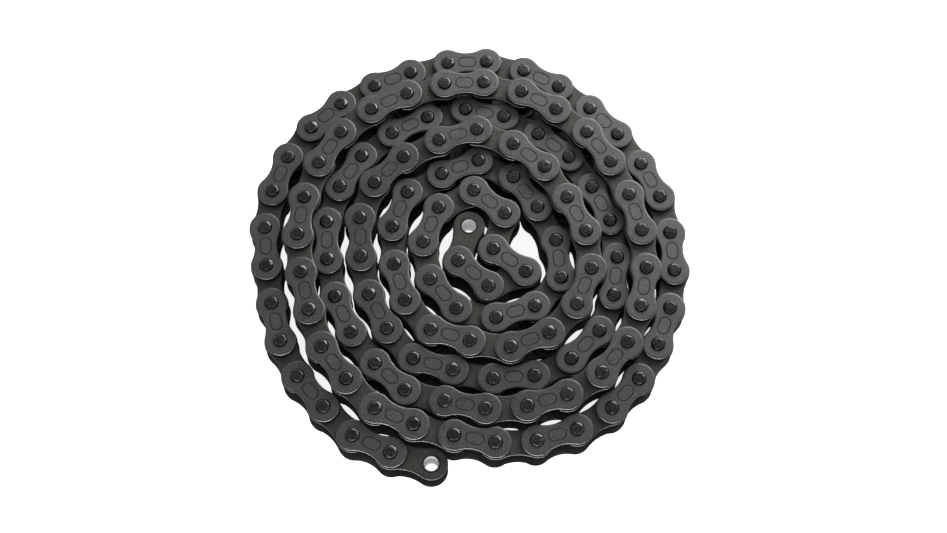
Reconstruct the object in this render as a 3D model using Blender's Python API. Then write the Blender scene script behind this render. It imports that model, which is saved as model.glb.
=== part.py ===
"""A length of roller chain, laid on a level floor in a loose flat coil of nearly five turns.

The chain is 125 links long. Inner links, two plates on bushes that carry rollers, take turns with
outer links, two plates on riveted pins. Both ends are open inner links. The second and fourth
turns lie nested one layer of plates higher than the turns beside them.
"""

import math

import bmesh
import bpy
from mathutils import Matrix, Vector

MM = 0.001

# Driving dimensions of the chain
PITCH = 12.7 * MM
INNER_WIDTH = 6.35 * MM
PLATE_THICKNESS = 1.5 * MM
INNER_PLATE_HEIGHT = 10.3 * MM
INNER_PLATE_WAIST = 7.9 * MM
OUTER_PLATE_HEIGHT = 9.9 * MM
OUTER_PLATE_WAIST = 7.0 * MM
PIN_DIAMETER = 3.97 * MM
PIN_HEAD = 0.9 * MM
BUSH_WALL = 0.42 * MM
ROLLER_DIAMETER = 7.77 * MM

# Clearances
PLATE_GAP = 0.3 * MM
FIT_GAP = 0.2 * MM
REST_GAP = 0.3 * MM

# Numbers of corners on the end links, and on the runs
ROUND_SIDES = 12
LOBE_POINTS = 9
FILLET_POINTS = 5
RUN_ROUND_SIDES = 6
RUN_CORE_SIDES = 3
RUN_UPPER_LOBE_POINTS = 5
RUN_LOWER_LOBE_POINTS = 4

# The lay: the bearing of the first link, anticlockwise from +X, then how far the chain bends to
# the right at each hinge, in whole degrees, one row for each turn of the coil
FIRST_BEARING = 168
BENDS = (
    10, 20, 5, 14, 12, 5, 5, 13, 12, 14, 13, 11, 9, 6, 14, 17, 13, 10, 9, 9, 8, 14, 9, 12, 11, 10, 13, 16, 15, 13,
    13, 5, 8, 23, 7, 18, 6, 7, 14, 12, 13, 17, 14, 10, 14, 17, 15, 10, 15, 10, 9, 12, 14, 12, 18, 18, 17, 12, 15, 5,
    26, 11, 12, 12, 10, 20, 15, 17, 14, 13, 25, 18, 10, 16, 9, 17, 15, 16, 22, 20, 21, 17, 4, 33, 13, 15,
    10, 23, 26, 17, 9, 41, 15, 18, 7, 20, 29, 21, 26, 30, 8, 33, 23, 13,
    25, 38, 8, 50, 26, 10, 20, 48, 31, 31, 36, 30, 33, 39, 67, 69, -71, 121, 64, 64,
)

# Where the chain climbs onto the turn outside it and comes down again: hinge, share of the climb
CLIMBS = ((0, 0), (30, 0), (36, 1), (56, 1), (62, 0), (86, 0), (91, 1), (98, 1), (104, 0), (125, 0))

# The first two links are separate pieces, and the others are riveted into runs of three
LOOSE_LINKS = 2
LINKS_IN_RUN = 3
HINGES_WITH_LOWER_HEADS = 32

# Heights of one link's layers above its middle plane
INNER_FACE = INNER_WIDTH / 2
INNER_BACK = INNER_FACE + PLATE_THICKNESS
OUTER_FACE = INNER_BACK + PLATE_GAP
OUTER_BACK = OUTER_FACE + PLATE_THICKNESS
PIN_END = OUTER_BACK + PIN_HEAD

# Radii that follow from the pin
PIN_RADIUS = PIN_DIAMETER / 2
BUSH_BORE_RADIUS = PIN_RADIUS + FIT_GAP
BUSH_RADIUS = BUSH_BORE_RADIUS + BUSH_WALL
ROLLER_BORE_RADIUS = BUSH_RADIUS + FIT_GAP
ROLLER_RADIUS = ROLLER_DIAMETER / 2
INNER_HOLE_RADIUS = BUSH_RADIUS + FIT_GAP / 2
OUTER_HOLE_RADIUS = PIN_RADIUS + FIT_GAP / 2

# The raised turns' lower outer plates lie on the inner faces of their neighbours' lower plates
CLIMB = OUTER_BACK - INNER_FACE + REST_GAP

# Within a run the pieces are one solid. Rollers end inside the inner plates, and a thin core
# through each fixed hinge ends inside the outer plates, where the pin's heads begin
ROLLER_END = INNER_FACE + PLATE_THICKNESS / 2
CORE_END = OUTER_FACE + PLATE_THICKNESS / 3
HEAD_ROOT = OUTER_FACE + PLATE_THICKNESS * 2 / 3
CORE_RADIUS = PIN_RADIUS / 2


def clear_scene():
    for old in list(bpy.data.objects):
        bpy.data.objects.remove(old, do_unlink=True)


def make_material(name, colour, roughness, metallic):
    material = bpy.data.materials.new(name)
    material.use_nodes = True
    shader = material.node_tree.nodes["Principled BSDF"]
    shader.inputs["Base Color"].default_value = (*colour, 1.0)
    shader.inputs["Roughness"].default_value = roughness
    shader.inputs["Metallic"].default_value = metallic
    material.diffuse_color = (*colour, 1.0)
    return material


def climb_share(hinge):
    """The share of the climb at one hinge, on straight ramps between the listed ones."""
    for (start, low), (end, high) in zip(CLIMBS, CLIMBS[1:]):
        if hinge <= end:
            return low + (high - low) * (hinge - start) / (end - start)
    return CLIMBS[-1][1]


def lay_chain():
    """The middle of each hinge, one pitch apart, with the coil's middle over the origin."""
    bearing = math.radians(FIRST_BEARING)
    bends = [0.0, *(math.radians(bend) for bend in BENDS)]
    heights = [PIN_END + CLIMB * climb_share(hinge) for hinge in range(len(bends) + 1)]
    hinges = [Vector((0.0, 0.0, heights[0]))]
    for link, bend in enumerate(bends):
        bearing -= bend
        rise = heights[link + 1] - heights[link]
        reach = math.sqrt(PITCH ** 2 - rise ** 2)
        hinges.append(hinges[-1] + Vector((reach * math.cos(bearing), reach * math.sin(bearing), rise)))
    middle = [(min(h[axis] for h in hinges) + max(h[axis] for h in hinges)) / 2 for axis in (0, 1)]
    return [hinge - Vector((*middle, 0.0)) for hinge in hinges]


def link_matrix(hinges, link):
    """From a link's own frame, first hinge at 0 and second at PITCH on X, to the chain's frame.

    A link on a climb is sheared upwards, so that its pins stay upright.
    """
    start, end = hinges[link], hinges[link + 1]
    along = (end - start) / PITCH
    level = Vector((along.x, along.y, 0.0)).normalized()
    across = Vector((-level.y, level.x, 0.0))
    turn = Matrix((along, across, (0.0, 0.0, 1.0))).transposed().to_4x4()
    return Matrix.Translation(start) @ turn


def is_inner(link):
    return link % 2 == 0


def arc(centre, radius, start, end, points):
    step = (end - start) / (points - 1)
    angles = [start + step * index for index in range(points)]
    return [(centre[0] + radius * math.cos(angle), centre[1] + radius * math.sin(angle)) for angle in angles]


def ring(radius, sides, centre=(0.0, 0.0)):
    """A circle's corners, the first of them on +X."""
    return arc(centre, radius, 0.0, math.tau * (sides - 1) / sides, sides)


def bore_ring(radius, sides, centre=(0.0, 0.0)):
    """A hole's corners, set out so that the flats between them touch the circle."""
    return ring(radius / math.cos(math.pi / sides), sides, centre)


def plate_outline(height, waist, lobe_points, fillet_points=1):
    """A figure of eight: a round lobe at each hinge and a hollow fillet along each side."""
    lobe, half, narrow = height / 2, PITCH / 2, waist / 2
    radius = (half ** 2 + narrow ** 2 - lobe ** 2) / (2 * (lobe - narrow))
    lean = math.atan2(half, narrow + radius)
    right = arc((PITCH, 0.0), lobe, -math.pi / 2, math.pi / 2, lobe_points)
    left = arc((0.0, 0.0), lobe, math.pi / 2, math.pi * 3 / 2, lobe_points)
    side = [(half, narrow)]
    if fillet_points > 1:
        side = arc((half, narrow + radius), radius, lean - math.pi / 2, -lean - math.pi / 2, fillet_points)
    return [*right, *side, *left, *((x, -y) for x, y in side[::-1])]


def inner_outline(*points):
    return plate_outline(INNER_PLATE_HEIGHT, INNER_PLATE_WAIST, *points)


def outer_outline(*points):
    return plate_outline(OUTER_PLATE_HEIGHT, OUTER_PLATE_WAIST, *points)


def prism_mesh(name, outline, low, high, matrix=None):
    """An upright solid of one outline."""
    shape = bmesh.new()
    floor = [shape.verts.new((x, y, low)) for x, y in outline]
    roof = [shape.verts.new((x, y, high)) for x, y in outline]
    shape.faces.new(floor[::-1])
    shape.faces.new(roof)
    for index, corner in enumerate(floor):
        after = (index + 1) % len(floor)
        shape.faces.new((corner, floor[after], roof[after], roof[index]))
    return finish_mesh(name, shape, matrix)


def finish_mesh(name, shape, matrix=None):
    if matrix is not None:
        shape.transform(matrix)
    bmesh.ops.recalc_face_normals(shape, faces=shape.faces[:])
    mesh = bpy.data.meshes.new(name)
    shape.to_mesh(mesh)
    shape.free()
    return mesh


def tube_mesh(name, outer_radius, bore_radius, low, high):
    """A ring, such as a roller or a bush, round its own axis."""
    shape = bmesh.new()
    loops = []
    for points, level in (
        (ring(outer_radius, ROUND_SIDES), low),
        (ring(outer_radius, ROUND_SIDES), high),
        (bore_ring(bore_radius, ROUND_SIDES), high),
        (bore_ring(bore_radius, ROUND_SIDES), low),
    ):
        loops.append([shape.verts.new((x, y, level)) for x, y in points])
    for loop, following in zip(loops, loops[1:] + loops[:1]):
        for index in range(ROUND_SIDES):
            after = (index + 1) % ROUND_SIDES
            shape.faces.new((loop[index], loop[after], following[after], following[index]))
    return finish_mesh(name, shape)


def drilled_plate_mesh(name, outline, hole_radius, low, high):
    """A plate with a round hole at each hinge, each face split along the link's middle line."""
    shape = bmesh.new()
    holes = [bore_ring(hole_radius, ROUND_SIDES, (x, 0.0)) for x in (0.0, PITCH)]
    layers = []
    for level in (low, high):
        edge = [shape.verts.new((x, y, level)) for x, y in outline]
        bores = [[shape.verts.new((x, y, level)) for x, y in hole] for hole in holes]
        layers.append((edge, bores))
    half_ring = ROUND_SIDES // 2
    tips = [max(range(len(outline)), key=lambda i: outline[i][0]),
            min(range(len(outline)), key=lambda i: outline[i][0])]
    for edge, (near, far) in layers:
        upper = edge[tips[0]:tips[1] + 1]
        upper += near[half_ring::-1] + far[half_ring::-1]
        shape.faces.new(upper)
        lower = edge[tips[1]:] + edge[:tips[0] + 1]
        lower += [far[0], *far[:half_ring - 1:-1], near[0], *near[:half_ring - 1:-1]]
        shape.faces.new(lower)
    walls = [(layers[0][0], layers[1][0])] + list(zip(layers[0][1], layers[1][1]))
    for floor, roof in walls:
        for index, corner in enumerate(floor):
            after = (index + 1) % len(floor)
            shape.faces.new((corner, floor[after], roof[after], roof[index]))
    return finish_mesh(name, shape)


def add_pivot(name, location, parent=None):
    """An empty on a joint's axis, which carries the pieces that swing about it."""
    pivot = bpy.data.objects.new(name, None)
    bpy.context.scene.collection.objects.link(pivot)
    pivot.empty_display_size = PITCH
    pivot.parent = parent
    pivot.location = location
    return pivot


def place(name, mesh, material, location, bearing=0.0, pivot=None):
    piece = bpy.data.objects.new(name, mesh)
    bpy.context.scene.collection.objects.link(piece)
    piece.parent = pivot
    piece.location = location
    piece.rotation_euler = (0.0, 0.0, bearing)
    mesh.materials.append(material)
    mesh.shade_smooth()
    mesh.set_sharp_from_angle(angle=math.radians(50))
    return piece


def add_end_inner_link(hinges, materials, pivot):
    """The open end: two drilled plates on two bushes, each bush with its roller."""
    open_end = hinges[0] - hinges[1]
    pinned_end = Vector((0.0, 0.0, 0.0))
    bearing = math.atan2(-open_end.y, -open_end.x)
    outline = inner_outline(LOBE_POINTS, FILLET_POINTS)
    for side, low, high in (("top", INNER_FACE, INNER_BACK), ("bottom", -INNER_BACK, -INNER_FACE)):
        mesh = drilled_plate_mesh("inner_plate", outline, INNER_HOLE_RADIUS, low, high)
        place(f"end_inner_plate_{side}", mesh, materials["inner_plate"], open_end, bearing, pivot)
    half_roller = INNER_FACE - FIT_GAP
    for end_name, spot in (("open", open_end), ("pinned", pinned_end)):
        bush = tube_mesh("bush", BUSH_RADIUS, BUSH_BORE_RADIUS, -INNER_BACK, INNER_BACK)
        place(f"end_bush_{end_name}", bush, materials["bush"], spot, bearing, pivot)
        roller = tube_mesh("roller", ROLLER_RADIUS, ROLLER_BORE_RADIUS, -half_roller, half_roller)
        place(f"end_roller_{end_name}", roller, materials["roller"], spot, bearing, pivot)


def add_end_outer_link(hinges, materials, pivot):
    """The second link: two drilled plates riveted on two pins."""
    first_hinge = hinges[1] - hinges[2]
    second_hinge = Vector((0.0, 0.0, 0.0))
    bearing = math.atan2(-first_hinge.y, -first_hinge.x)
    outline = outer_outline(LOBE_POINTS, FILLET_POINTS)
    for side, low, high in (("top", OUTER_FACE, OUTER_BACK), ("bottom", -OUTER_BACK, -OUTER_FACE)):
        mesh = drilled_plate_mesh("outer_plate", outline, OUTER_HOLE_RADIUS, low, high)
        place(f"end_outer_plate_{side}", mesh, materials["outer_plate"], first_hinge, bearing, pivot)
    for end_name, spot in (("first", first_hinge), ("second", second_hinge)):
        pin = prism_mesh("pin", ring(PIN_RADIUS, ROUND_SIDES), -PIN_END, PIN_END)
        place(f"end_pin_{end_name}", pin, materials["pin"], spot, bearing, pivot)


def plate_solids(hinges, link):
    """A link's two plates, the lower one with fewer corners."""
    if is_inner(link):
        outline, near, far = inner_outline, INNER_FACE, INNER_BACK
    else:
        outline, near, far = outer_outline, OUTER_FACE, OUTER_BACK
    matrix = link_matrix(hinges, link)
    upper = prism_mesh("upper_plate", outline(RUN_UPPER_LOBE_POINTS), near, far, matrix)
    lower = prism_mesh("lower_plate", outline(RUN_LOWER_LOBE_POINTS), -far, -near, matrix)
    return [upper, lower]


def run_solids(hinges, links):
    """The overlapping solids of one run, and the bores in its bushes."""
    solids = [solid for link in links for solid in plate_solids(hinges, link)]
    bores = []
    for hinge in range(links[0], links[-1] + 2):
        inside = {is_inner(link) for link in (hinge - 1, hinge) if link in links}
        has_lower_head = hinge < HINGES_WITH_LOWER_HEADS

        def upright(name, radius, sides, low, high):
            return prism_mesh(name, ring(radius, sides), low, high, Matrix.Translation(hinges[hinge]))

        if True in inside:
            solids.append(upright("roller", ROLLER_RADIUS, RUN_ROUND_SIDES, -ROLLER_END, ROLLER_END))
        if inside == {True, False}:
            solids.append(upright("core", CORE_RADIUS, RUN_CORE_SIDES, -CORE_END, CORE_END))
            solids.append(upright("head", PIN_RADIUS, RUN_ROUND_SIDES, HEAD_ROOT, PIN_END))
            if has_lower_head:
                solids.append(upright("head", PIN_RADIUS, RUN_ROUND_SIDES, -PIN_END, -HEAD_ROOT))
        elif False in inside:
            foot = -PIN_END if has_lower_head else -HEAD_ROOT
            solids.append(upright("pin", PIN_RADIUS, RUN_ROUND_SIDES, foot, PIN_END))
        else:
            bore = BUSH_BORE_RADIUS / math.cos(math.pi / RUN_ROUND_SIDES)
            bores.append(upright("bore", bore, RUN_ROUND_SIDES, -PIN_END, PIN_END))
    return solids, bores


def helper(mesh, collection):
    piece = bpy.data.objects.new(mesh.name, mesh)
    piece.hide_render = True
    piece.display_type = "WIRE"
    collection.objects.link(piece)
    return piece


def fuse(name, solids, bores):
    """One mesh of several solids joined, with the bores cut out of it."""
    stock = bpy.data.collections.new(name + "_stock")
    drills = bpy.data.collections.new(name + "_drills")
    for collection in (stock, drills):
        bpy.context.scene.collection.children.link(collection)
    base = helper(solids[0], bpy.context.scene.collection)
    helpers = [base] + [helper(mesh, stock) for mesh in solids[1:]] + [helper(mesh, drills) for mesh in bores]
    for operation, collection in (("UNION", stock), ("DIFFERENCE", drills)):
        if collection.objects:
            cut = base.modifiers.new(operation.lower(), "BOOLEAN")
            cut.operation = operation
            cut.operand_type = "COLLECTION"
            cut.collection = collection
            cut.solver = "EXACT"
    bpy.context.view_layer.update()
    graph = bpy.context.evaluated_depsgraph_get()
    mesh = bpy.data.meshes.new_from_object(base.evaluated_get(graph))
    mesh.name = name
    for piece in helpers:
        bpy.data.objects.remove(piece, do_unlink=True)
    for collection in (stock, drills):
        bpy.data.collections.remove(collection)
    return mesh


def add_runs(hinges, material):
    """The rest of the chain, in runs whose end pins turn in the next run's bushes."""
    last = len(hinges) - 2
    for first in range(LOOSE_LINKS, last + 1, LINKS_IN_RUN):
        links = list(range(first, min(first + LINKS_IN_RUN, last + 1)))
        origin = hinges[first]
        near = [hinge - origin for hinge in hinges]
        name = f"chain_links_{links[0] + 1:03d}_to_{links[-1] + 1:03d}"
        mesh = fuse(name, *run_solids(near, links))
        mesh.materials.clear()
        place(name, mesh, material, origin)


def main():
    clear_scene()
    materials = {
        "outer_plate": make_material("outer_plate", (0.045, 0.046, 0.050), 0.42, 0.9),
        "inner_plate": make_material("inner_plate", (0.036, 0.036, 0.032), 0.48, 0.9),
        "bush": make_material("bush", (0.30, 0.30, 0.30), 0.30, 1.0),
        "roller": make_material("roller", (0.10, 0.10, 0.10), 0.30, 1.0),
        "pin": make_material("pin", (0.020, 0.021, 0.023), 0.35, 0.9),
    }
    chain = make_material("chain", (0.042, 0.043, 0.046), 0.45, 0.9)
    hinges = lay_chain()
    second_link = add_pivot("second_link_pivot", hinges[2])
    end_link = add_pivot("end_link_pivot", hinges[1] - hinges[2], second_link)
    add_end_outer_link(hinges, materials, second_link)
    add_end_inner_link(hinges, materials, end_link)
    add_runs(hinges, chain)


main()
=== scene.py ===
"""Dresses a coiled length of roller chain: every plate, pin, bush and roller, on a pale studio floor."""

import math
import random

import bmesh
import bpy
from bpy.props import FloatProperty, FloatVectorProperty, IntProperty, PointerProperty
from mathutils import Matrix, Vector


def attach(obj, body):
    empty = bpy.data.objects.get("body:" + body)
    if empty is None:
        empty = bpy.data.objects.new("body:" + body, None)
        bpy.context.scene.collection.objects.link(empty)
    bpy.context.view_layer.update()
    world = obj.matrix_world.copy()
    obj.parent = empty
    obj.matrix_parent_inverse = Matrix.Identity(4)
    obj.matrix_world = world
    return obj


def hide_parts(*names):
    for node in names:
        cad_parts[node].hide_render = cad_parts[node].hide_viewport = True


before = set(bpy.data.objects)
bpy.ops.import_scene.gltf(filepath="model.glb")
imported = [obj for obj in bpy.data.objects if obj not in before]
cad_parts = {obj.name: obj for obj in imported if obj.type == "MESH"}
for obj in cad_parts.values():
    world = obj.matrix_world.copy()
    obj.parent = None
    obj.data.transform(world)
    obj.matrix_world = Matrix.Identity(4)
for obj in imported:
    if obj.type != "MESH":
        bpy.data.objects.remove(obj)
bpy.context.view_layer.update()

bl_info = {
    "name": "Roller Chain Coil",
    "version": (1, 0, 0),
    "blender": (4, 5, 0),
    "location": "View3D > Sidebar > Chain",
    "description": "Builds a flat coil of roller chain from separate plates, pins, bushes and rollers",
    "category": "Object",
}

MM = 0.001

# The lay, as in the part: the first link's bearing and the bend to the right at each hinge, in degrees
FIRST_BEARING = 168
BENDS = (
    10, 20, 5, 14, 12, 5, 5, 13, 12, 14, 13, 11, 9, 6, 14, 17, 13, 10, 9, 9, 8, 14, 9, 12, 11,
    10, 13, 16, 15, 13, 13, 5, 8, 23, 7, 18, 6, 7, 14, 12, 13, 17, 14, 10, 14, 17, 15, 10, 15, 10,
    9, 12, 14, 12, 18, 18, 17, 12, 15, 5, 26, 11, 12, 12, 10, 20, 15, 17, 14, 13, 25, 18, 10, 16, 9,
    17, 15, 16, 22, 20, 21, 17, 4, 33, 13, 15, 10, 23, 26, 17, 9, 41, 15, 18, 7, 20, 29, 21, 26, 30,
    8, 33, 23, 13, 25, 38, 8, 50, 26, 10, 20, 48, 31, 31, 36, 30, 33, 39, 67, 69, -71, 121, 64, 64,
)

# (hinge, level) where a climb starts or ends: 0 for a turn that lies on the floor, 1 for a raised one
CLIMBS = ((0, 0), (30, 0), (36, 1), (56, 1), (62, 0), (86, 0), (91, 1), (98, 1), (104, 0), (125, 0))

# The part's solids: the links at the open end are loose, and the others come in runs
LOOSE_LINKS = 2
LINKS_IN_RUN = 3

# How many runs one piece stands for: plates and pins come in six stretches, bushes and rollers in one
RUNS_OUTSIDE = 7
RUNS_INSIDE = 41

# Links are numbered from 0. Inner links have the even numbers, outer links the odd ones
INNER_LINKS = 0
OUTER_LINKS = 1

# The two plates of a link, above its rollers and below them, where they are turned over about its line
SIDES = {"top": 1, "bottom": -1}
UPRIGHT = Matrix.Identity(4)
TURNED_OVER = Matrix.Diagonal((1.0, -1.0, -1.0, 1.0))

# Each kind of piece draws its random numbers from the seed plus its place here
DRAWS = ("outer_plates", "inner_plates", "pins", "bushes", "rollers", "end_inner_link", "end_outer_link")

# A plate's side wall as (inset, height) steps in shares of the rim's rounding: the heights go up from the
# plain face, then down from the rounded one
PLAIN_RIM = ((0.55, 0.0), (0.12, 0.07), (0.0, 0.35))
ROUND_RIM = ((0.0, 1.0), (0.10, 0.55), (0.36, 0.22), (0.75, 0.05), (1.3, 0.0), (1.9, 0.0))
HOLE_CHAMFER = 0.35

# The oval groove's section as (inset, depth) steps, in shares of its width and its depth
GROOVE_STEPS = ((0.0, 0.0), (0.3, 1.0), (0.7, 1.0), (1.0, 0.0))

# A pin's riveted end as (radius, depth) steps: shares of the pin's radius, and of the head's height
PIN_END = (
    (1.0, 1.0), (1.03, 0.76), (1.03, 0.50), (0.97, 0.32),
    (0.88, 0.17), (0.78, 0.05), (0.71, 0.0), (0.50, 0.0),
)

# Peening gives the outer share of a head a few flats and makes it lopsided by the sway. Where a flat is at
# the even distance, the radius stays as it is
PEENED_SHARE = 0.5
PEEN_CORNERS = (5, 6, 6, 7)
PEEN_EVEN = 0.95
PEEN_STRENGTH = 1.5
PEEN_SWAY = (0.04, 0.09)

# Eased edges of bushes and rollers, and where their corner is cut, as a share of the edge
BUSH_EDGE = 0.08 * MM
ROLLER_EDGE = 0.35 * MM
EDGE_CORNER = 0.3

# Facets round whole circles, and points along a plate's lobe, its fillet and the end of its oval groove
HOLE_SIDES = 32
PIN_SIDES = 36
ROLLER_SIDES = 36
BUSH_SIDES = 28
END_BUSH_SIDES = 48
LOBE_POINTS = 23
FILLET_POINTS = 9
OVAL_POINTS = 13

# Faces that meet at more than this many degrees show a sharp edge
SHARP_ANGLE = 38

# The photograph's camera: pixels, radians and metres
IMAGE_WIDTH = 947
FOCAL_PIXELS = 1652.35
CAMERA_TILT = 0.358212
CAMERA_ROLL = 0.045045
CAMERA_PLACE = (1.631 * MM, -186.36 * MM, 499.75 * MM)
SENSOR_WIDTH = 36.0
NEAREST = 0.01

# The floor's reach from its middle, in metres
FLOOR_REACH = 3.0

# (name, the studio's value for its power, size, place) of each lamp, in metres. All face the coil's middle
LAMPS = (
    ("key_light", "key_power", (0.45, 0.3), (0.22, 0.42, 0.26)),
    ("front_light", "front_power", (0.24, 0.03), (0.0, -0.17, 0.042)),
)

# The sky's brightness from straight down (0) over the horizon (0.5) to overhead (1), and how much brighter
# it is behind the chain than in front
SKY = ((0.15, 0.0), (0.33, 0.8), (0.5, 1.0))
BACK_GAIN = 0.5


def length(name, default, description):
    return FloatProperty(name=name, description=description, default=default, min=0.0, unit="LENGTH")


def colour(name, default, description):
    return FloatVectorProperty(
        name=name, description=description, default=default, size=3, min=0.0, max=1.0, subtype="COLOR"
    )


def share(name, default, description):
    return FloatProperty(
        name=name, description=description, default=default, min=0.0, max=1.0, subtype="FACTOR"
    )


def amount(name, default, description):
    return FloatProperty(name=name, description=description, default=default, min=0.0)


def power(name, default, description):
    return FloatProperty(name=name, description=description, default=default, min=0.0, unit="POWER")


class ChainSizes(bpy.types.PropertyGroup):
    """The sizes of the links."""

    pitch: length("Pitch", 12.7 * MM, "Distance between neighbouring pins")
    inner_width: length("Inner Width", 6.35 * MM, "Clear width between the inner plates")
    plate_thickness: length("Plate Thickness", 1.5 * MM, "Thickness of every plate")
    plate_gap: length("Plate Gap", 0.3 * MM, "Running gap between inner and outer plates")
    inner_height: length("Inner Plate Height", 10.3 * MM, "Height of an inner plate's round ends")
    inner_waist: length("Inner Plate Waist", 7.9 * MM, "Height of an inner plate between its ends")
    outer_height: length("Outer Plate Height", 9.9 * MM, "Height of an outer plate's round ends")
    outer_waist: length("Outer Plate Waist", 7.0 * MM, "Height of an outer plate between its ends")
    pin_diameter: length("Pin Diameter", 3.97 * MM, "Diameter of the pins")
    pin_head: length("Pin Head", 0.9 * MM, "How far a pin's riveted end stands out of the outer plate")
    bush_wall: length("Bush Wall", 0.42 * MM, "Wall of the bushes")
    roller_diameter: length("Roller Diameter", 7.77 * MM, "Diameter of the rollers")
    fit_gap: length("Fit Gap", 0.2 * MM, "Gap round pins and bushes")
    rest_gap: length("Rest Gap", 0.3 * MM, "Gap between a raised turn and what it lies on")
    rim_radius: length("Rim Radius", 0.46 * MM, "Rounding of the plates' outer rims")
    mark_length: length("Mark Length", 5.9 * MM, "Length of the plain oval groove in the outer plates")
    mark_width: length("Mark Width", 3.8 * MM, "Width of the plain oval groove in the outer plates")
    mark_line: length("Mark Line", 0.3 * MM, "Width of the oval groove itself")
    mark_depth: length("Mark Depth", 0.12 * MM, "Depth of the oval groove")


class ChainFinish(bpy.types.PropertyGroup):
    """The finishes of the chain's pieces."""

    outer_colour: colour("Outer Plates", (0.0733, 0.0729, 0.0741), "Colour of the outer plates")
    inner_colour: colour("Inner Plates", (0.0508, 0.0498, 0.0462), "Colour of the inner plates")
    pin_colour: colour("Pins", (0.028, 0.0285, 0.030), "Colour of the flat of a riveted pin end")
    edge_colour: colour("Pin Edges", (0.055, 0.055, 0.057), "Colour of the worn slanting edge of a pin end")
    roller_colour: colour("Rollers", (0.05, 0.05, 0.05), "Colour of the rollers")
    # The bushes' pale bores are a painted reflection of the pale floor
    bore_reflection_colour: colour("Bushes", (0.80, 0.80, 0.80), "Colour of the bushes' bright bores")
    plate_roughness: share("Plate Roughness", 0.5, "Roughness of the plates' flat faces")
    plate_metal: share("Plate Metal", 0.92, "How metallic the plates look")
    pin_roughness: share("Pin Roughness", 0.36, "Roughness of the pin ends")
    grain: amount("Grain", 3.0, "Contrast of the plates' fine grain")
    unevenness: share("Unevenness", 0.16, "How much the plates differ from each other in tone")
    seed: IntProperty(name="Seed", description="Start of the random tones and pin ends", default=7, min=0)


class ChainStudio(bpy.types.PropertyGroup):
    """The floor, lights and world."""

    floor_colour: colour("Floor", (0.93, 0.93, 0.93), "Colour of the studio floor")
    floor_glow: share("Floor Glow", 0.85, "How much the floor shines by itself, as a light table does")
    sky_strength: amount("Sky", 0.56, "Strength of the even light overhead")
    key_power: power("Key Light", 5.0, "Power of the large soft light behind")
    front_power: power("Front Light", 0.2, "Power of the low strip in front")


# Shader maths


BLACK = (0.0, 0.0, 0.0, 1.0)
WHITE = (1.0, 1.0, 1.0, 1.0)


class Value:
    """A socket that can be used in Python expressions, each step adding its Math node."""

    def __init__(self, shader, socket):
        self.shader = shader
        self.socket = socket

    def _join(self, operation, first, second):
        return self.shader.node("ShaderNodeMath", {"operation": operation}, {0: first, 1: second})

    def __add__(self, other):
        return self._join("ADD", self, other)

    def __sub__(self, other):
        return self._join("SUBTRACT", self, other)

    def __rsub__(self, other):
        return self._join("SUBTRACT", other, self)

    def __mul__(self, other):
        return self._join("MULTIPLY", self, other)

    def __truediv__(self, other):
        return self._join("DIVIDE", self, other)

    def __pow__(self, other):
        return self._join("POWER", self, other)

    def __abs__(self):
        return self._join("ABSOLUTE", self, 0.0)

    def over(self, least):
        """The value, or the least one where the value is below it."""
        return self._join("MAXIMUM", self, least)

    def swing(self, reach):
        """A noise or tone between 0 and 1, moved to swing about 0."""
        return (self - 0.5) * reach

    def beside(self, output):
        """Another output of the same node."""
        return Value(self.shader, self.socket.node.outputs[output])

    __radd__ = __add__
    __rmul__ = __mul__


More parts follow.
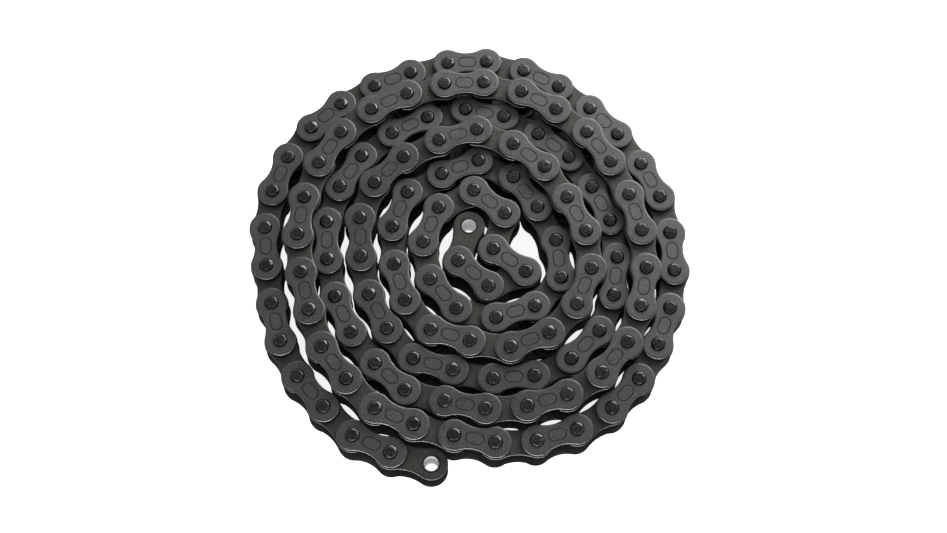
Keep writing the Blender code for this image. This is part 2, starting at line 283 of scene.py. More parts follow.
class Shader:
    """A material's or world's nodes, added one by one."""

    def __init__(self, owner, surface):
        owner.use_nodes = True
        self.owner = owner
        self.tree = owner.node_tree
        self.surface = self.tree.nodes[surface]

    def put(self, target, value):
        if isinstance(value, Value):
            self.tree.links.new(value.socket, target)
        else:
            target.default_value = value

    def node(self, kind, settings=(), inputs=(), output=0):
        """Adds a node: its settings first, with a ramp's (place, brightness) stops, then its sockets."""
        made = self.tree.nodes.new(kind)
        for name, value in dict(settings).items():
            if name == "stops":
                elements = made.color_ramp.elements
                while len(elements) < len(value):
                    elements.new(0.5)
                for element, (place, level) in zip(elements, value):
                    element.position = place
                    element.color = (level, level, level, 1.0)
            else:
                setattr(made, name, value)
        for name, value in dict(inputs).items():
            self.put(made.inputs[name], value)
        return Value(self, made.outputs[output])

    def place(self):
        """The piece's own coordinates."""
        return self.node("ShaderNodeTexCoord", output="Object")

    def tone(self):
        """The random tone of each plate, pin, bush and roller, from 0 to 1."""
        return self.node("ShaderNodeAttribute", {"attribute_name": "tone"}, output="Fac")

    def link_place(self):
        """Millimetres along and across the link from its first hinge, or from a turned piece's axis."""
        return self.node("ShaderNodeUVMap", {"uv_map": "link_place"})

    def from_axis(self):
        """Millimetres from a turned piece's axis."""
        place = self.link_place()
        return self.node("ShaderNodeVectorMath", {"operation": "LENGTH"}, {"Vector": place}, output="Value")

    def lean(self):
        """How far the surface faces up or down: 0 on side walls, 1 on flat faces."""
        normal = self.node("ShaderNodeTexCoord", output="Normal")
        return abs(self.node("ShaderNodeSeparateXYZ", (), {"Vector": normal}, output="Z"))

    def ramp(self, value, *stops):
        return self.node("ShaderNodeValToRGB", {"stops": stops}, {"Fac": value})

    def noise(self, place, scale, detail, roughness):
        inputs = {"Vector": place, "Scale": scale, "Detail": detail, "Roughness": roughness}
        return self.node("ShaderNodeTexNoise", (), inputs)

    def mix(self, factor, first, second):
        """A mix of two colours, whose sockets a Mix node tells apart only by number."""
        inputs = {0: factor, 6: first, 7: second}
        return self.node("ShaderNodeMix", {"data_type": "RGBA"}, inputs, output=2)

    def shade(self, level, span, brightest):
        """From black at level 0 to the brightest colour where the level reaches the span."""
        return self.mix(level * (1.0 / span), BLACK, brightest)

    def mottle(self, cloud, base, first, second):
        """One colour at two levels, mixed by a noise."""
        return self.mix(cloud, rgb(base, first), rgb(base, second))

    def bump(self, height, strength, distance):
        inputs = {"Height": height, "Strength": strength, "Distance": distance}
        return self.node("ShaderNodeBump", (), inputs)

    def finish(self, **inputs):
        for name, value in inputs.items():
            self.put(self.surface.inputs[name.replace("_", " ")], value)
        return self.owner


def new_finish(name):
    return Shader(bpy.data.materials.new(name), "Principled BSDF")


def rgb(colour_value, level):
    """A colour at that many times its brightness, as a socket takes it."""
    return (*(min(1.0, channel * level) for channel in colour_value), 1.0)


# Outlines and profiles, in metres, in a link's own frame: first hinge at 0, second on +X


def arc(centre, radius, start, end, points):
    """Points along an arc, its two ends among them."""
    x, y = centre
    step = (end - start) / (points - 1)
    angles = [start + step * index for index in range(points)]
    return [(x + radius * math.cos(angle), y + radius * math.sin(angle)) for angle in angles]


def plate_outline(pitch, height, waist, inset):
    """A plate's figure of eight, drawn in by an inset all round."""
    lobe, half, narrow = height / 2, pitch / 2, waist / 2
    fillet = (half ** 2 + narrow ** 2 - lobe ** 2) / (2 * (lobe - narrow))
    centre = (half, narrow + fillet)
    sweep = math.atan2(narrow + fillet, -half)
    lean = math.atan2(half, narrow + fillet)
    right = arc((pitch, 0.0), lobe - inset, -sweep, sweep, LOBE_POINTS)
    left = arc((0.0, 0.0), lobe - inset, math.pi - sweep, math.pi + sweep, LOBE_POINTS)
    side = arc(centre, fillet + inset, lean - math.pi / 2, -lean - math.pi / 2, FILLET_POINTS)[1:-1]
    return [*right, *side, *left, *((x, -y) for x, y in side[::-1])]


def oval_outline(sizes, inset):
    """The oval mark round the middle of a plate, drawn in by an inset all round."""
    middle, radius = sizes.pitch / 2, sizes.mark_width / 2 - inset
    straight = (sizes.mark_length - sizes.mark_width) / 2
    right = arc((middle + straight, 0.0), radius, -math.pi / 2, math.pi / 2, OVAL_POINTS)
    left = arc((middle - straight, 0.0), radius, math.pi / 2, math.pi * 3 / 2, OVAL_POINTS)
    return [*right, *left]


def hole_outline(x, radius):
    return arc((x, 0.0), radius, 0.0, math.tau * (HOLE_SIDES - 1) / HOLE_SIDES, HOLE_SIDES)


def loop_of(shape, points, level):
    return [shape.verts.new((x, y, level)) for x, y in points]


def bridge(shape, first, second):
    """Quads between two closed loops of as many corners."""
    count = len(first)
    for index in range(count):
        after = (index + 1) % count
        shape.faces.new((first[index], first[after], second[after], second[index]))


def cap(shape, rings, facing):
    """Fills the flat region between an outline and the holes inside it, facing up (1) or down (-1)."""
    edges = []
    for ring in rings:
        for index, corner in enumerate(ring):
            after = ring[(index + 1) % len(ring)]
            edges.append(shape.edges.get((corner, after)) or shape.edges.new((corner, after)))
    bmesh.ops.triangle_fill(shape, edges=edges, use_beauty=True, normal=(0.0, 0.0, facing))


def plate_shape(sizes, height, waist, hole_radius, marked):
    """One plate on its plain face, a hole at each hinge. If marked, its rounded face has the oval groove."""
    pitch, thickness, rim = sizes.pitch, sizes.plate_thickness, sizes.rim_radius
    shape = bmesh.new()
    steps = [
        *((inset * rim, above * rim) for inset, above in PLAIN_RIM),
        *((inset * rim, thickness - below * rim) for inset, below in ROUND_RIM),
    ]
    loops = [loop_of(shape, plate_outline(pitch, height, waist, inset), level) for inset, level in steps]
    for lower, upper in zip(loops, loops[1:]):
        bridge(shape, lower, upper)
    chamfer = HOLE_CHAMFER * rim
    hole_steps = (
        (hole_radius + chamfer, 0.0),
        (hole_radius, chamfer),
        (hole_radius, thickness - chamfer),
        (hole_radius + chamfer, thickness),
    )
    floor_holes, roof_holes = [], []
    for x in (0.0, pitch):
        rings = [loop_of(shape, hole_outline(x, radius), level) for radius, level in hole_steps]
        for lower, upper in zip(rings, rings[1:]):
            bridge(shape, upper, lower)
        floor_holes.append(rings[0])
        roof_holes.append(rings[-1])
    cap(shape, [loops[0], *floor_holes], -1.0)
    if marked:
        line, depth = sizes.mark_line, sizes.mark_depth
        grooves = [
            loop_of(shape, oval_outline(sizes, inset * line), thickness - below * depth)
            for inset, below in GROOVE_STEPS
        ]
        for outer, inner in zip(grooves, grooves[1:]):
            bridge(shape, outer, inner)
        roof_holes.append(grooves[0])
        cap(shape, [grooves[-1]], 1.0)
    cap(shape, [loops[-1], *roof_holes], 1.0)
    return shape


def turned_shape(profile, sides, ripple=None):
    """A solid turned from (radius, height) steps: from pole to pole, or a closed ring without poles."""
    shape = bmesh.new()
    rings = []
    for radius, level in profile:
        if radius == 0.0:
            rings.append([shape.verts.new((0.0, 0.0, level))])
            continue
        ring = []
        for index in range(sides):
            angle = math.tau * index / sides
            reach = radius * ripple(angle, level) if ripple else radius
            ring.append(shape.verts.new((reach * math.cos(angle), reach * math.sin(angle), level)))
        rings.append(ring)
    has_poles = len(rings[0]) == 1
    following = rings[1:] if has_poles else rings[1:] + rings[:1]
    for lower, upper in zip(rings, following):
        if len(lower) == 1:
            for index in range(sides):
                shape.faces.new((lower[0], upper[(index + 1) % sides], upper[index]))
        elif len(upper) == 1:
            for index in range(sides):
                shape.faces.new((lower[index], lower[(index + 1) % sides], upper[0]))
        else:
            bridge(shape, lower, upper)
    return shape


def pin_shape(radius, reach, head, luck):
    """A pin with peened ends: a rough flat with a few uneven corners inside a slanting edge."""
    corners, turn = luck.choice(PEEN_CORNERS), luck.uniform(0.0, math.tau)
    heavy_side, sway = luck.uniform(0.0, math.tau), luck.uniform(*PEEN_SWAY)
    peened = PEENED_SHARE * head
    facet = math.tau / corners

    def ripple(angle, level):
        inward = (abs(level) - (reach - peened)) / peened
        if inward <= 0.0:
            return 1.0
        flat = math.cos(facet / 2) / math.cos((angle - turn) % facet - facet / 2)
        uneven = (flat - PEEN_EVEN) * PEEN_STRENGTH + sway * math.cos(angle - heavy_side)
        return 1.0 + min(1.0, inward) * uneven

    upper = [(radius * width, reach - below * head) for width, below in PIN_END]
    lower = [(distance, -level) for distance, level in upper[::-1]]
    profile = [(0.0, -reach), *lower, *upper, (0.0, reach)]
    return turned_shape(profile, PIN_SIDES, ripple)


def ring_shape(outer, bore, reach, edge, sides):
    """A roller or a bush: a tube with eased edges."""
    corner = EDGE_CORNER * edge
    upper = [
        (outer, reach - edge),
        (outer - corner, reach - corner),
        (outer - edge, reach),
        (bore + edge, reach),
        (bore, reach - edge),
    ]
    lower = [(distance, -level) for distance, level in upper[::-1]]
    return turned_shape([*lower, *upper], sides)


# The chain


class Chain:
    """Where every link and hinge lies, worked out from the sizes."""

    def __init__(self, sizes):
        self.sizes = sizes
        self.inner_face = sizes.inner_width / 2
        self.inner_back = self.inner_face + sizes.plate_thickness
        self.outer_face = self.inner_back + sizes.plate_gap
        self.outer_back = self.outer_face + sizes.plate_thickness
        self.pin_end = self.outer_back + sizes.pin_head
        self.pin_radius = sizes.pin_diameter / 2
        self.bore_radius = self.pin_radius + sizes.fit_gap
        self.bush_radius = self.bore_radius + sizes.bush_wall
        self.climb = self.outer_back - self.inner_face + sizes.rest_gap
        self.hinges = self.lay()
        self.links = len(BENDS) + 1

    def climb_share(self, hinge):
        """How much of the climb to the raised level a hinge has behind it."""
        for (start, low), (end, high) in zip(CLIMBS, CLIMBS[1:]):
            if hinge <= end:
                return low + (high - low) * (hinge - start) / (end - start)
        return CLIMBS[-1][1]

    def lay(self):
        """Every hinge's middle, laid link by link and then centred."""
        bearing = math.radians(FIRST_BEARING)
        bends = [0.0, *(math.radians(bend) for bend in BENDS)]
        heights = [self.pin_end + self.climb * self.climb_share(hinge) for hinge in range(len(bends) + 1)]
        hinges = [Vector((0.0, 0.0, heights[0]))]
        for link, bend in enumerate(bends):
            bearing -= bend
            rise = heights[link + 1] - heights[link]
            reach = math.sqrt(self.sizes.pitch ** 2 - rise ** 2)
            step = Vector((reach * math.cos(bearing), reach * math.sin(bearing), rise))
            hinges.append(hinges[-1] + step)
        spans = [[hinge[axis] for hinge in hinges] for axis in (0, 1)]
        middle = Vector((*((min(span) + max(span)) / 2 for span in spans), 0.0))
        return [hinge - middle for hinge in hinges]

    def link_matrix(self, link):
        """A link's frame in the coil. A link on a climb is sheared, so that its pins stay upright."""
        start, end = self.hinges[link], self.hinges[link + 1]
        along = (end - start) / self.sizes.pitch
        level = Vector((along.x, along.y, 0.0)).normalized()
        across = Vector((-level.y, level.x, 0.0))
        return Matrix.Translation(start) @ Matrix((along, across, (0.0, 0.0, 1.0))).transposed().to_4x4()

    def stretches(self, runs):
        """(links, CAD nodes) of every stretch of so many runs, the loose end links left out."""
        for start in range(LOOSE_LINKS, self.links, LINKS_IN_RUN * runs):
            end = min(start + LINKS_IN_RUN * runs, self.links)
            nodes = [
                "chain_" + links_name(first, min(first + LINKS_IN_RUN, end))
                for first in range(start, end, LINKS_IN_RUN)
            ]
            yield range(start, end), nodes


def chain_of(context):
    return Chain(context.scene.chain_sizes)


def links_name(start, end):
    """The links from start up to end, counted from 1 as in the part's names."""
    return f"links_{start + 1:03d}_to_{end:03d}"


def template_of(shape):
    """A shape's corners and faces as plain lists."""
    bmesh.ops.recalc_face_normals(shape, faces=shape.faces[:])
    shape.verts.ensure_lookup_table()
    corners = [vertex.co.copy() for vertex in shape.verts]
    faces = [[vertex.index for vertex in face.verts] for face in shape.faces]
    shape.free()
    return corners, faces


def inner_plate(chain):
    sizes = chain.sizes
    hole = chain.bush_radius + sizes.fit_gap / 2
    return template_of(plate_shape(sizes, sizes.inner_height, sizes.inner_waist, hole, marked=False))


def outer_plate(chain):
    sizes = chain.sizes
    hole = chain.pin_radius + sizes.fit_gap / 2
    return template_of(plate_shape(sizes, sizes.outer_height, sizes.outer_waist, hole, marked=True))


def pin(chain, luck):
    return template_of(pin_shape(chain.pin_radius, chain.pin_end, chain.sizes.pin_head, luck))


def bush(chain, sides):
    radius, bore, reach = chain.bush_radius, chain.bore_radius, chain.inner_back
    return template_of(ring_shape(radius, bore, reach, BUSH_EDGE, sides))


def roller(chain):
    radius = chain.sizes.roller_diameter / 2
    bore = chain.bush_radius + chain.sizes.fit_gap
    reach = chain.inner_face - chain.sizes.fit_gap
    return template_of(ring_shape(radius, bore, reach, ROLLER_EDGE, ROLLER_SIDES))


class Assembly:
    """Gathers copies of shapes, each with its own tone and its link's coordinates, into one mesh."""

    def __init__(self):
        self.points, self.faces, self.spots, self.tones = [], [], [], []

    def add(self, template, matrix, tone, local=UPRIGHT):
        """Adds a copy of a template by its matrix, and notes where its corners lie in the link."""
        start = len(self.points)
        corners, faces = template
        self.points += [matrix @ corner for corner in corners]
        where = [local @ corner for corner in corners]
        for face in faces:
            self.faces.append([start + index for index in face])
            self.spots += [(where[index].x, where[index].y) for index in face]
            self.tones += [tone] * len(face)

    def add_plate(self, template, chain, link, near, side, luck):
        """A link's plate on one side of its rollers, its plain face that near to their middle."""
        local = UPRIGHT if side > 0 else TURNED_OVER
        stand = Matrix.Translation((0.0, 0.0, side * near))
        self.add(template, chain.link_matrix(link) @ stand @ local, luck.random(), local)

    def add_turned(self, template, chain, hinge, luck):
        """A pin, bush or roller on a hinge's axis."""
        self.add(template, Matrix.Translation(chain.hinges[hinge]), luck.random())

    def make(self, name, body, nodes, slot):
        """Makes the piece, which rides on a body and takes the place of CAD nodes."""
        mesh = bpy.data.meshes.new(name)
        mesh.from_pydata(self.points, [], self.faces)
        place = mesh.uv_layers.new(name="link_place")
        place.data.foreach_set("uv", [value / MM for spot in self.spots for value in spot])
        tone = mesh.attributes.new("tone", "FLOAT", "CORNER")
        tone.data.foreach_set("value", self.tones)
        mesh.materials.append(finish_of(slot))
        mesh.shade_smooth()
        mesh.set_sharp_from_angle(angle=math.radians(SHARP_ANGLE))
        piece = bpy.data.objects.new(name, mesh)
        bpy.context.scene.collection.objects.link(piece)
        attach(piece, body)
        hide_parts(*nodes)

    def dress(self, node, body, slot):
        """Makes the piece that stands for one solid of the part."""
        self.make("dressed_" + node, body, [node], slot)


# Finishes


# Brightness of the steel against its lean, which is 0 on side walls and 1 on flat faces: painted light and
# shade. A plate's stops are shares of its painted rim highlight: painted shade makes its sheared side walls
# black and its holes dark, and a painted highlight makes its rims bright. A pin's stops paint shade on its
# sides and steep edges
RIM_HIGHLIGHT_LEVEL = 4.0
RIM_PAINTED_LIGHT_AND_SHADE = ((0.0, 0.08), (0.32, 0.08), (0.44, 1.0), (0.66, 1.0), (0.82, 0.27), (0.95, 0.25))
HOLE_PAINTED_SHADE = ((0.0, 0.06), (0.85, 0.08), (0.96, 0.25))
PIN_PAINTED_SHADE = ((0.0, 0.10), (0.62, 0.15), (0.74, 1.0), (1.0, 1.0))

# Where a plate's rims take the plain grey of their painted highlight, and where they are polished, against
# their lean
RIM_HIGHLIGHT_GREY = ((0.3, 1.0), (0.66, 1.0), (0.9, 0.0))
RIM_POLISH = ((0.3, 0.0), (0.45, 1.0), (0.66, 1.0), (0.82, 0.0))
POLISH_STRENGTH = 0.14

# A surface's colour is its base colour times its level, which goes up to these spans. A plate's painted rim
# highlight, in plain grey, comes out a tenth brighter
PLATE_SPAN = 5.0
HIGHLIGHT_GREY_SPAN = 5.5
STEEL_SPAN = 2.0

# Where the painted shade of a plate's holes gives way to the painted light and shade of its rims, in
# centimetres from the hinge
HOLE_END = ((0.295, 0.0), (0.31, 1.0))
CM_PER_MM = 0.1

# The level in the groove, and the distances from its middle line where it fades out, as shares of its width
GROOVE_LEVEL = 0.64
GROOVE_FADE = (0.55, 0.9)

# The worn edge of a pin's end, and the end of a bush's bore with its painted reflection, in diameters from
# the axis
PIN_EDGE = ((0.35, 0.0), (0.40, 1.0), (0.50, 1.0), (0.53, 0.3))
BORE_END = ((0.500, 0.0), (0.504, 1.0))

# How strongly the noises show in the colour and in the roughness
PLATE_CLOUDS = 0.35
PLATE_CLOUD_ROUGHNESS = 0.10
PLATE_GRAIN_ROUGHNESS = 0.3
PIN_TONES = 0.3
PIN_PEENING = 4.0
PIN_FINE_ROUGHNESS = 0.2
PIN_EDGE_POLISH = 0.12
ROLLER_CLOUDS = 0.4
ROLLER_SCRATCHES = 0.25
ROLLER_SCRATCH_ROUGHNESS = 0.15
BUSH_CLOUD_ROUGHNESS = 0.2

# The parts of coarse peening and fine grain in the relief of a pin's end, and how much a roller's noise is
# flattened, so that it runs round the axis
PEEN_RELIEF = 0.7
FINE_RELIEF = 0.3
FLATTENING = (1.0, 1.0, 9.0)

# Values that are the same all over a surface
FILM_SHEEN = 0.15
BUSH_SHEEN = 0.2
STEEL_METAL = 0.95
ROLLER_ROUGHNESS = 0.34
BUSH_ROUGHNESS = 0.4
FLOOR_ROUGHNESS = 0.8

# The range of the mottling on a bush's outside, on its bore's painted reflection, and on the floor, as
# shares of the colour
BUSH_OUTSIDE_RANGE = (0.5, 1.3)
BORE_REFLECTION_RANGE = (0.85, 1.1)
FLOOR_RANGE = (1.0, 0.99)


def groove_mask(shader, from_middle, across, sizes):
    """1 in the oval groove, from the distances to the plate's middle and its long axis in millimetres."""
    long, wide, line = (size / MM for size in (sizes.mark_length, sizes.mark_width, sizes.mark_line))
    beyond = (from_middle - (long - wide) / 2).over(0.0)
    off_line = abs((beyond * beyond + across * across) ** 0.5 - (wide - line) / 2)
    solid, gone = GROOVE_FADE
    return shader.ramp(off_line, (solid * line, 1.0), (gone * line, 0.0))


def plate_finish(name, scene, base, marked):
    """Phosphated steel: matte, grainy, faintly mottled, a painted highlight on the rims, painted shade on
    the side walls and in the holes, dark in grooves.
    """
    finish, sizes = scene.chain_finish, scene.chain_sizes
    shader = new_finish(name)
    place = shader.place()
    along = shader.node("ShaderNodeSeparateXYZ", (), {"Vector": shader.link_place()})
    across = along.beside("Y")
    half = sizes.pitch / 2 / MM
    from_middle = abs(along - half)
    from_hinge = ((from_middle - half) * (from_middle - half) + across * across) ** 0.5
    outside = shader.ramp(from_hinge * CM_PER_MM, *HOLE_END)
    lean = shader.lean()
    cloud = shader.noise(place, scale=180.0, detail=4.0, roughness=0.6)
    grain = shader.noise(place, scale=2600.0, detail=4.0, roughness=0.8)
    tone = shader.tone().swing(finish.unevenness)
    level = 1.0 + tone + cloud.swing(PLATE_CLOUDS) + grain.swing(finish.grain)
    # Painted light and shade by lean: a painted highlight on the rims, painted shade on the side walls and
    # holes
    painted_light_and_shade = outside * shader.ramp(lean, *RIM_PAINTED_LIGHT_AND_SHADE) + (1.0 - outside) * shader.ramp(lean, *HOLE_PAINTED_SHADE)
    level = level * painted_light_and_shade * RIM_HIGHLIGHT_LEVEL
    if marked:
        groove = groove_mask(shader, from_middle, across, sizes)
        level = level * (1.0 - groove) + groove * GROOVE_LEVEL
    grey = (base[0] + base[2]) / 2
    # The painted rim highlight and the painted side shade take a plain grey
    highlight_grey = outside * shader.ramp(lean, *RIM_HIGHLIGHT_GREY)
    brightest = shader.mix(highlight_grey, rgb(base, PLATE_SPAN), rgb((grey, grey, grey), HIGHLIGHT_GREY_SPAN))
    polish = outside * shader.ramp(lean, *RIM_POLISH)
    roughness = finish.plate_roughness + grain.swing(PLATE_GRAIN_ROUGHNESS)
    roughness = roughness + cloud.swing(PLATE_CLOUD_ROUGHNESS) - polish * POLISH_STRENGTH
    return shader.finish(
        Base_Color=shader.shade(level, PLATE_SPAN, brightest),
        Metallic=finish.plate_metal,
        Roughness=roughness,
        Normal=shader.bump(grain, strength=0.7, distance=0.04 * MM),
        Specular_IOR_Level=FILM_SHEEN,
    )


def outer_plate_finish(name, scene):
    return plate_finish(name, scene, scene.chain_finish.outer_colour, marked=True)


def inner_plate_finish(name, scene):
    return plate_finish(name, scene, scene.chain_finish.inner_colour, marked=False)


def pin_finish(name, scene):
    """Blackened pin steel: a coarse peened end, worn brighter on its slanting edge, with painted shade on
    its sides and steep slopes.
    """
    finish, diameter = scene.chain_finish, scene.chain_sizes.pin_diameter / MM
    shader = new_finish(name)
    place = shader.place()
    edge = shader.ramp(shader.from_axis() / diameter, *PIN_EDGE)
    peen = shader.noise(place, scale=1300.0, detail=4.0, roughness=0.75)
    fine = shader.noise(place, scale=4200.0, detail=2.0, roughness=0.5)
    level = 1.0 + shader.tone().swing(PIN_TONES) + peen.swing(PIN_PEENING)
    # Painted shade on the pin's sides and steep edges
    level = level * shader.ramp(shader.lean(), *PIN_PAINTED_SHADE)
    flat_colour = shader.shade(level, STEEL_SPAN, rgb(finish.pin_colour, STEEL_SPAN))
    edge_colour = shader.shade(level, STEEL_SPAN, rgb(finish.edge_colour, STEEL_SPAN))
    return shader.finish(
        Base_Color=shader.mix(edge, flat_colour, edge_colour),
        Metallic=STEEL_METAL,
        Roughness=finish.pin_roughness + fine.swing(PIN_FINE_ROUGHNESS) - edge * PIN_EDGE_POLISH,
        Normal=shader.bump(peen * PEEN_RELIEF + fine * FINE_RELIEF, strength=0.6, distance=0.12 * MM),
        Specular_IOR_Level=FILM_SHEEN,
    )


def roller_finish(name, scene):
    """Turned and tumbled steel with fine scratches round the axis."""
    finish = scene.chain_finish
    shader = new_finish(name)
    place = shader.place()
    flattened = shader.node("ShaderNodeVectorMath", {"operation": "MULTIPLY"}, {0: place, 1: FLATTENING})
    scratches = shader.noise(flattened, scale=900.0, detail=3.0, roughness=0.6)
    cloud = shader.noise(place, scale=400.0, detail=3.0, roughness=0.55)
    tone = shader.tone().swing(finish.unevenness)
    level = 1.0 + tone + cloud.swing(ROLLER_CLOUDS) + scratches.swing(ROLLER_SCRATCHES)
    return shader.finish(
        Base_Color=shader.shade(level, STEEL_SPAN, rgb(finish.roller_colour, STEEL_SPAN)),
        Metallic=STEEL_METAL,
        Roughness=ROLLER_ROUGHNESS + scratches.swing(ROLLER_SCRATCH_ROUGHNESS),
        Normal=shader.bump(scratches, strength=0.25, distance=0.02 * MM),
        Specular_IOR_Level=FILM_SHEEN,
    )


def bush_finish(name, scene):
    """A bush: blackened like the plates outside and on its end, with a painted reflection of the pale floor
    inside its bore.
    """
    finish, sizes = scene.chain_finish, scene.chain_sizes
    shader = new_finish(name)
    bore = (sizes.pin_diameter + 2 * sizes.fit_gap) / MM
    outside = shader.ramp(shader.from_axis() / bore, *BORE_END)
    cloud = shader.noise(shader.place(), scale=500.0, detail=3.0, roughness=0.55)
    dark = shader.mottle(cloud, finish.inner_colour, *BUSH_OUTSIDE_RANGE)
    # The bore's pale colour is a painted reflection of the pale floor
    bright = shader.mottle(cloud, finish.bore_reflection_colour, *BORE_REFLECTION_RANGE)
    return shader.finish(
        Base_Color=shader.mix(outside, bright, dark),
        Roughness=BUSH_ROUGHNESS + cloud.swing(BUSH_CLOUD_ROUGHNESS),
        Specular_IOR_Level=BUSH_SHEEN,
    )


def floor_finish(name, scene):
    """A pale floor that glows a little and is barely mottled."""
    base = scene.chain_studio.floor_colour
    shader = new_finish(name)
    cloud = shader.noise(shader.place(), scale=6.0, detail=2.0, roughness=0.5)
    return shader.finish(
        Base_Color=shader.mottle(cloud, base, *FLOOR_RANGE),
        Roughness=FLOOR_ROUGHNESS,
        Emission_Color=WHITE,
        Emission_Strength=scene.chain_studio.floor_glow,
    )


# The name and the maker of the finish in each slot, and of the floor's
FINISHES = {
    "outer_plate": ("phosphated_outer_plate", outer_plate_finish),
    "inner_plate": ("phosphated_inner_plate", inner_plate_finish),
    "pin": ("blackened_pin_steel", pin_finish),
    "bush": ("bush_steel", bush_finish),
    "roller": ("tumbled_roller_steel", roller_finish),
    "floor": ("studio_floor", floor_finish),
}


def finish_of(slot):
    """A slot's finish, made when it is first asked for."""
    name, maker = FINISHES[slot]
    return bpy.data.materials.get(name) or maker(name, bpy.context.scene)


# Operators


def add_stretches(context, kind, runs, slot, which_links, add_link):
    """One piece for each stretch of the coil, filled link by link."""
    chain = chain_of(context)
    for links, nodes in chain.stretches(runs):
        assembly = Assembly()
        for link in links:
            if link % 2 == which_links:
                add_link(assembly, chain, link)
        assembly.make(f"{kind}_{links_name(links[0], links[-1] + 1)}", "coil", nodes, slot)


def luck_of(context, kind):
    """The random draws of one kind of piece."""
    return random.Random(context.scene.chain_finish.seed + DRAWS.index(kind))


class CHAIN_OT_outer_plates(bpy.types.Operator):
    """Add the outer plates of the coil"""

    bl_idname = "chain.outer_plates"
    bl_label = "Outer Plates"

    def execute(self, context):
        template, luck = outer_plate(chain_of(context)), luck_of(context, "outer_plates")

        def add_link(assembly, chain, link):
            for side in SIDES.values():
                assembly.add_plate(template, chain, link, chain.outer_face, side, luck)

        add_stretches(context, "outer_plates", RUNS_OUTSIDE, "outer_plate", OUTER_LINKS, add_link)
        return {"FINISHED"}


class CHAIN_OT_inner_plates(bpy.types.Operator):
    """Add the inner plates of the coil"""

    bl_idname = "chain.inner_plates"
    bl_label = "Inner Plates"

    def execute(self, context):
        template, luck = inner_plate(chain_of(context)), luck_of(context, "inner_plates")

        def add_link(assembly, chain, link):
            for side in SIDES.values():
                assembly.add_plate(template, chain, link, chain.inner_face, side, luck)

        add_stretches(context, "inner_plates", RUNS_OUTSIDE, "inner_plate", INNER_LINKS, add_link)
        return {"FINISHED"}


class CHAIN_OT_pins(bpy.types.Operator):
    """Add the riveted pins of the coil"""

    bl_idname = "chain.pins"
    bl_label = "Pins"

    def execute(self, context):
        luck = luck_of(context, "pins")

        def add_link(assembly, chain, link):
            for hinge in (link, link + 1):
                assembly.add_turned(pin(chain, luck), chain, hinge, luck)

        add_stretches(context, "pins", RUNS_OUTSIDE, "pin", OUTER_LINKS, add_link)
        return {"FINISHED"}


class CHAIN_OT_bushes(bpy.types.Operator):
    """Add the bushes of the coil"""

    bl_idname = "chain.bushes"
    bl_label = "Bushes"

    def execute(self, context):
        template, luck = bush(chain_of(context), BUSH_SIDES), luck_of(context, "bushes")

        def add_link(assembly, chain, link):
            for hinge in (link, link + 1):
                assembly.add_turned(template, chain, hinge, luck)

        add_stretches(context, "bushes", RUNS_INSIDE, "bush", INNER_LINKS, add_link)
        return {"FINISHED"}


class CHAIN_OT_rollers(bpy.types.Operator):
    """Add the rollers of the coil"""

    bl_idname = "chain.rollers"
    bl_label = "Rollers"

    def execute(self, context):
        template, luck = roller(chain_of(context)), luck_of(context, "rollers")

        def add_link(assembly, chain, link):
            for hinge in (link, link + 1):
                assembly.add_turned(template, chain, hinge, luck)

        add_stretches(context, "rollers", RUNS_INSIDE, "roller", INNER_LINKS, add_link)
        return {"FINISHED"}


class CHAIN_OT_end_inner_link(bpy.types.Operator):
    """Add the open end link: its plates, bushes and rollers as separate pieces"""

    bl_idname = "chain.end_inner_link"
    bl_label = "Open End Link"

    def execute(self, context):
        chain, luck = chain_of(context), luck_of(context, "end_inner_link")
        plate = inner_plate(chain)
        for side_name, side in SIDES.items():
            assembly = Assembly()
            assembly.add_plate(plate, chain, 0, chain.inner_face, side, luck)
            assembly.dress(f"end_inner_plate_{side_name}", "end_link", "inner_plate")
        bush_template, roller_template = bush(chain, END_BUSH_SIDES), roller(chain)
        for end_name, hinge in (("open", 0), ("pinned", 1)):
            assembly = Assembly()
            assembly.add_turned(bush_template, chain, hinge, luck)
            assembly.dress(f"end_bush_{end_name}", "end_link", "bush")
            assembly = Assembly()
            assembly.add_turned(roller_template, chain, hinge, luck)
            assembly.dress(f"end_roller_{end_name}", f"{end_name}_end_roller", "roller")
        return {"FINISHED"}


class CHAIN_OT_end_outer_link(bpy.types.Operator):
    """Add the second link: its plates and pins as separate pieces"""

    bl_idname = "chain.end_outer_link"
    bl_label = "Second Link"

    def execute(self, context):
        chain, luck = chain_of(context), luck_of(context, "end_outer_link")
        plate = outer_plate(chain)
        for side_name, side in SIDES.items():
            assembly = Assembly()
            assembly.add_plate(plate, chain, 1, chain.outer_face, side, luck)
            assembly.dress(f"end_outer_plate_{side_name}", "second_link", "outer_plate")
        for pin_name, hinge in (("first", 1), ("second", 2)):
            assembly = Assembly()
            assembly.add_turned(pin(chain, luck), chain, hinge, luck)
            assembly.dress(f"end_pin_{pin_name}", "second_link", "pin")
        return {"FINISHED"}


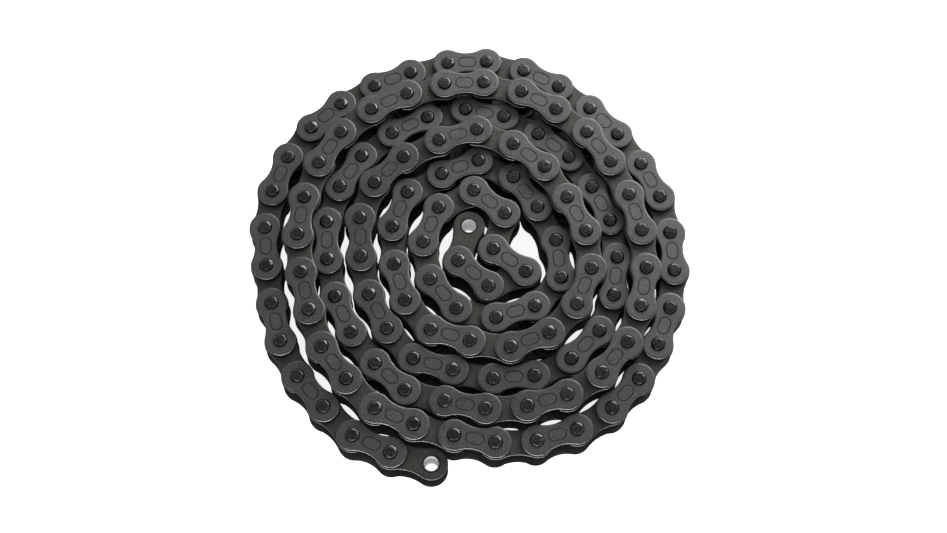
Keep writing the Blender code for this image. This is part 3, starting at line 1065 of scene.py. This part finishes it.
class CHAIN_OT_studio(bpy.types.Operator):
    """Add the pale floor, the soft lights and the photograph's camera"""

    bl_idname = "chain.studio"
    bl_label = "Studio"

    def execute(self, context):
        self.add_floor(context.scene)
        self.add_sky(context.scene)
        self.add_lamps(context.scene)
        self.add_camera(context.scene)
        return {"FINISHED"}

    def add_floor(self, scene):
        shape = bmesh.new()
        bmesh.ops.create_grid(shape, x_segments=2, y_segments=2, size=FLOOR_REACH)
        mesh = bpy.data.meshes.new("studio_floor")
        shape.to_mesh(mesh)
        shape.free()
        mesh.materials.append(finish_of("floor"))
        floor = bpy.data.objects.new("studio_floor", mesh)
        scene.collection.objects.link(floor)
        floor.visible_glossy = False

    def add_sky(self, scene):
        world = bpy.data.worlds.new("studio_world")
        scene.world = world
        shader = Shader(world, "Background")
        direction = shader.node("ShaderNodeTexCoord", output="Generated")
        height = shader.node("ShaderNodeSeparateXYZ", (), {"Vector": direction}, output="Z")
        backwards = height.beside("Y").over(0.0)
        sky = shader.ramp(height * 0.5 + 0.5, *SKY)
        shader.finish(Color=sky * (1.0 + backwards * BACK_GAIN), Strength=scene.chain_studio.sky_strength)

    def add_lamps(self, scene):
        for name, power_name, size, place in LAMPS:
            lamp = bpy.data.lights.new(name, "AREA")
            lamp.shape = "RECTANGLE"
            lamp.size, lamp.size_y = size
            lamp.energy = getattr(scene.chain_studio, power_name)
            light = bpy.data.objects.new(name, lamp)
            light.location = place
            light.visible_camera = False
            light.rotation_euler = (-Vector(place)).to_track_quat("-Z", "Y").to_euler()
            scene.collection.objects.link(light)

    def add_camera(self, scene):
        ahead = Vector((0.0, math.sin(CAMERA_TILT), -math.cos(CAMERA_TILT)))
        down = Vector((0.0, -math.cos(CAMERA_TILT), -math.sin(CAMERA_TILT)))
        right = Vector((1.0, 0.0, 0.0))
        turn, lean = math.cos(CAMERA_ROLL), math.sin(CAMERA_ROLL)
        image_right = turn * right - lean * down
        image_down = lean * right + turn * down
        axes = Matrix((image_right, -image_down, -ahead)).transposed().to_4x4()
        lens = bpy.data.cameras.new("photo_camera")
        lens.sensor_fit = "HORIZONTAL"
        lens.sensor_width = SENSOR_WIDTH
        lens.lens = FOCAL_PIXELS * SENSOR_WIDTH / IMAGE_WIDTH
        lens.clip_start = NEAREST
        camera = bpy.data.objects.new("photo_camera", lens)
        camera.matrix_world = Matrix.Translation(CAMERA_PLACE) @ axes
        scene.collection.objects.link(camera)
        scene.camera = camera
        scene.view_settings.view_transform = "Standard"


STEPS = (
    CHAIN_OT_outer_plates,
    CHAIN_OT_inner_plates,
    CHAIN_OT_pins,
    CHAIN_OT_bushes,
    CHAIN_OT_rollers,
    CHAIN_OT_end_inner_link,
    CHAIN_OT_end_outer_link,
    CHAIN_OT_studio,
)


class CHAIN_PT_panel(bpy.types.Panel):
    """The chain's sizes, finishes and building steps"""

    bl_idname = "CHAIN_PT_panel"
    bl_label = "Roller Chain Coil"
    bl_space_type = "VIEW_3D"
    bl_region_type = "UI"
    bl_category = "Chain"

    def draw(self, context):
        layout = self.layout
        for name, group in GROUPS:
            box = layout.box()
            for value_name in group.__annotations__:
                box.prop(getattr(context.scene, name), value_name)
        for step in STEPS:
            layout.operator(step.bl_idname)


GROUPS = (("chain_sizes", ChainSizes), ("chain_finish", ChainFinish), ("chain_studio", ChainStudio))


def register():
    for name, group in GROUPS:
        bpy.utils.register_class(group)
        setattr(bpy.types.Scene, name, PointerProperty(type=group))
    for step in (*STEPS, CHAIN_PT_panel):
        bpy.utils.register_class(step)


def unregister():
    for step in (CHAIN_PT_panel, *STEPS[::-1]):
        bpy.utils.unregister_class(step)
    for name, group in GROUPS[::-1]:
        delattr(bpy.types.Scene, name)
        bpy.utils.unregister_class(group)


def main():
    register()
    for step in STEPS:
        family, action = step.bl_idname.split(".")
        getattr(getattr(bpy.ops, family), action)()
    bpy.context.view_layer.update()


if __name__ == "__main__":
    main()
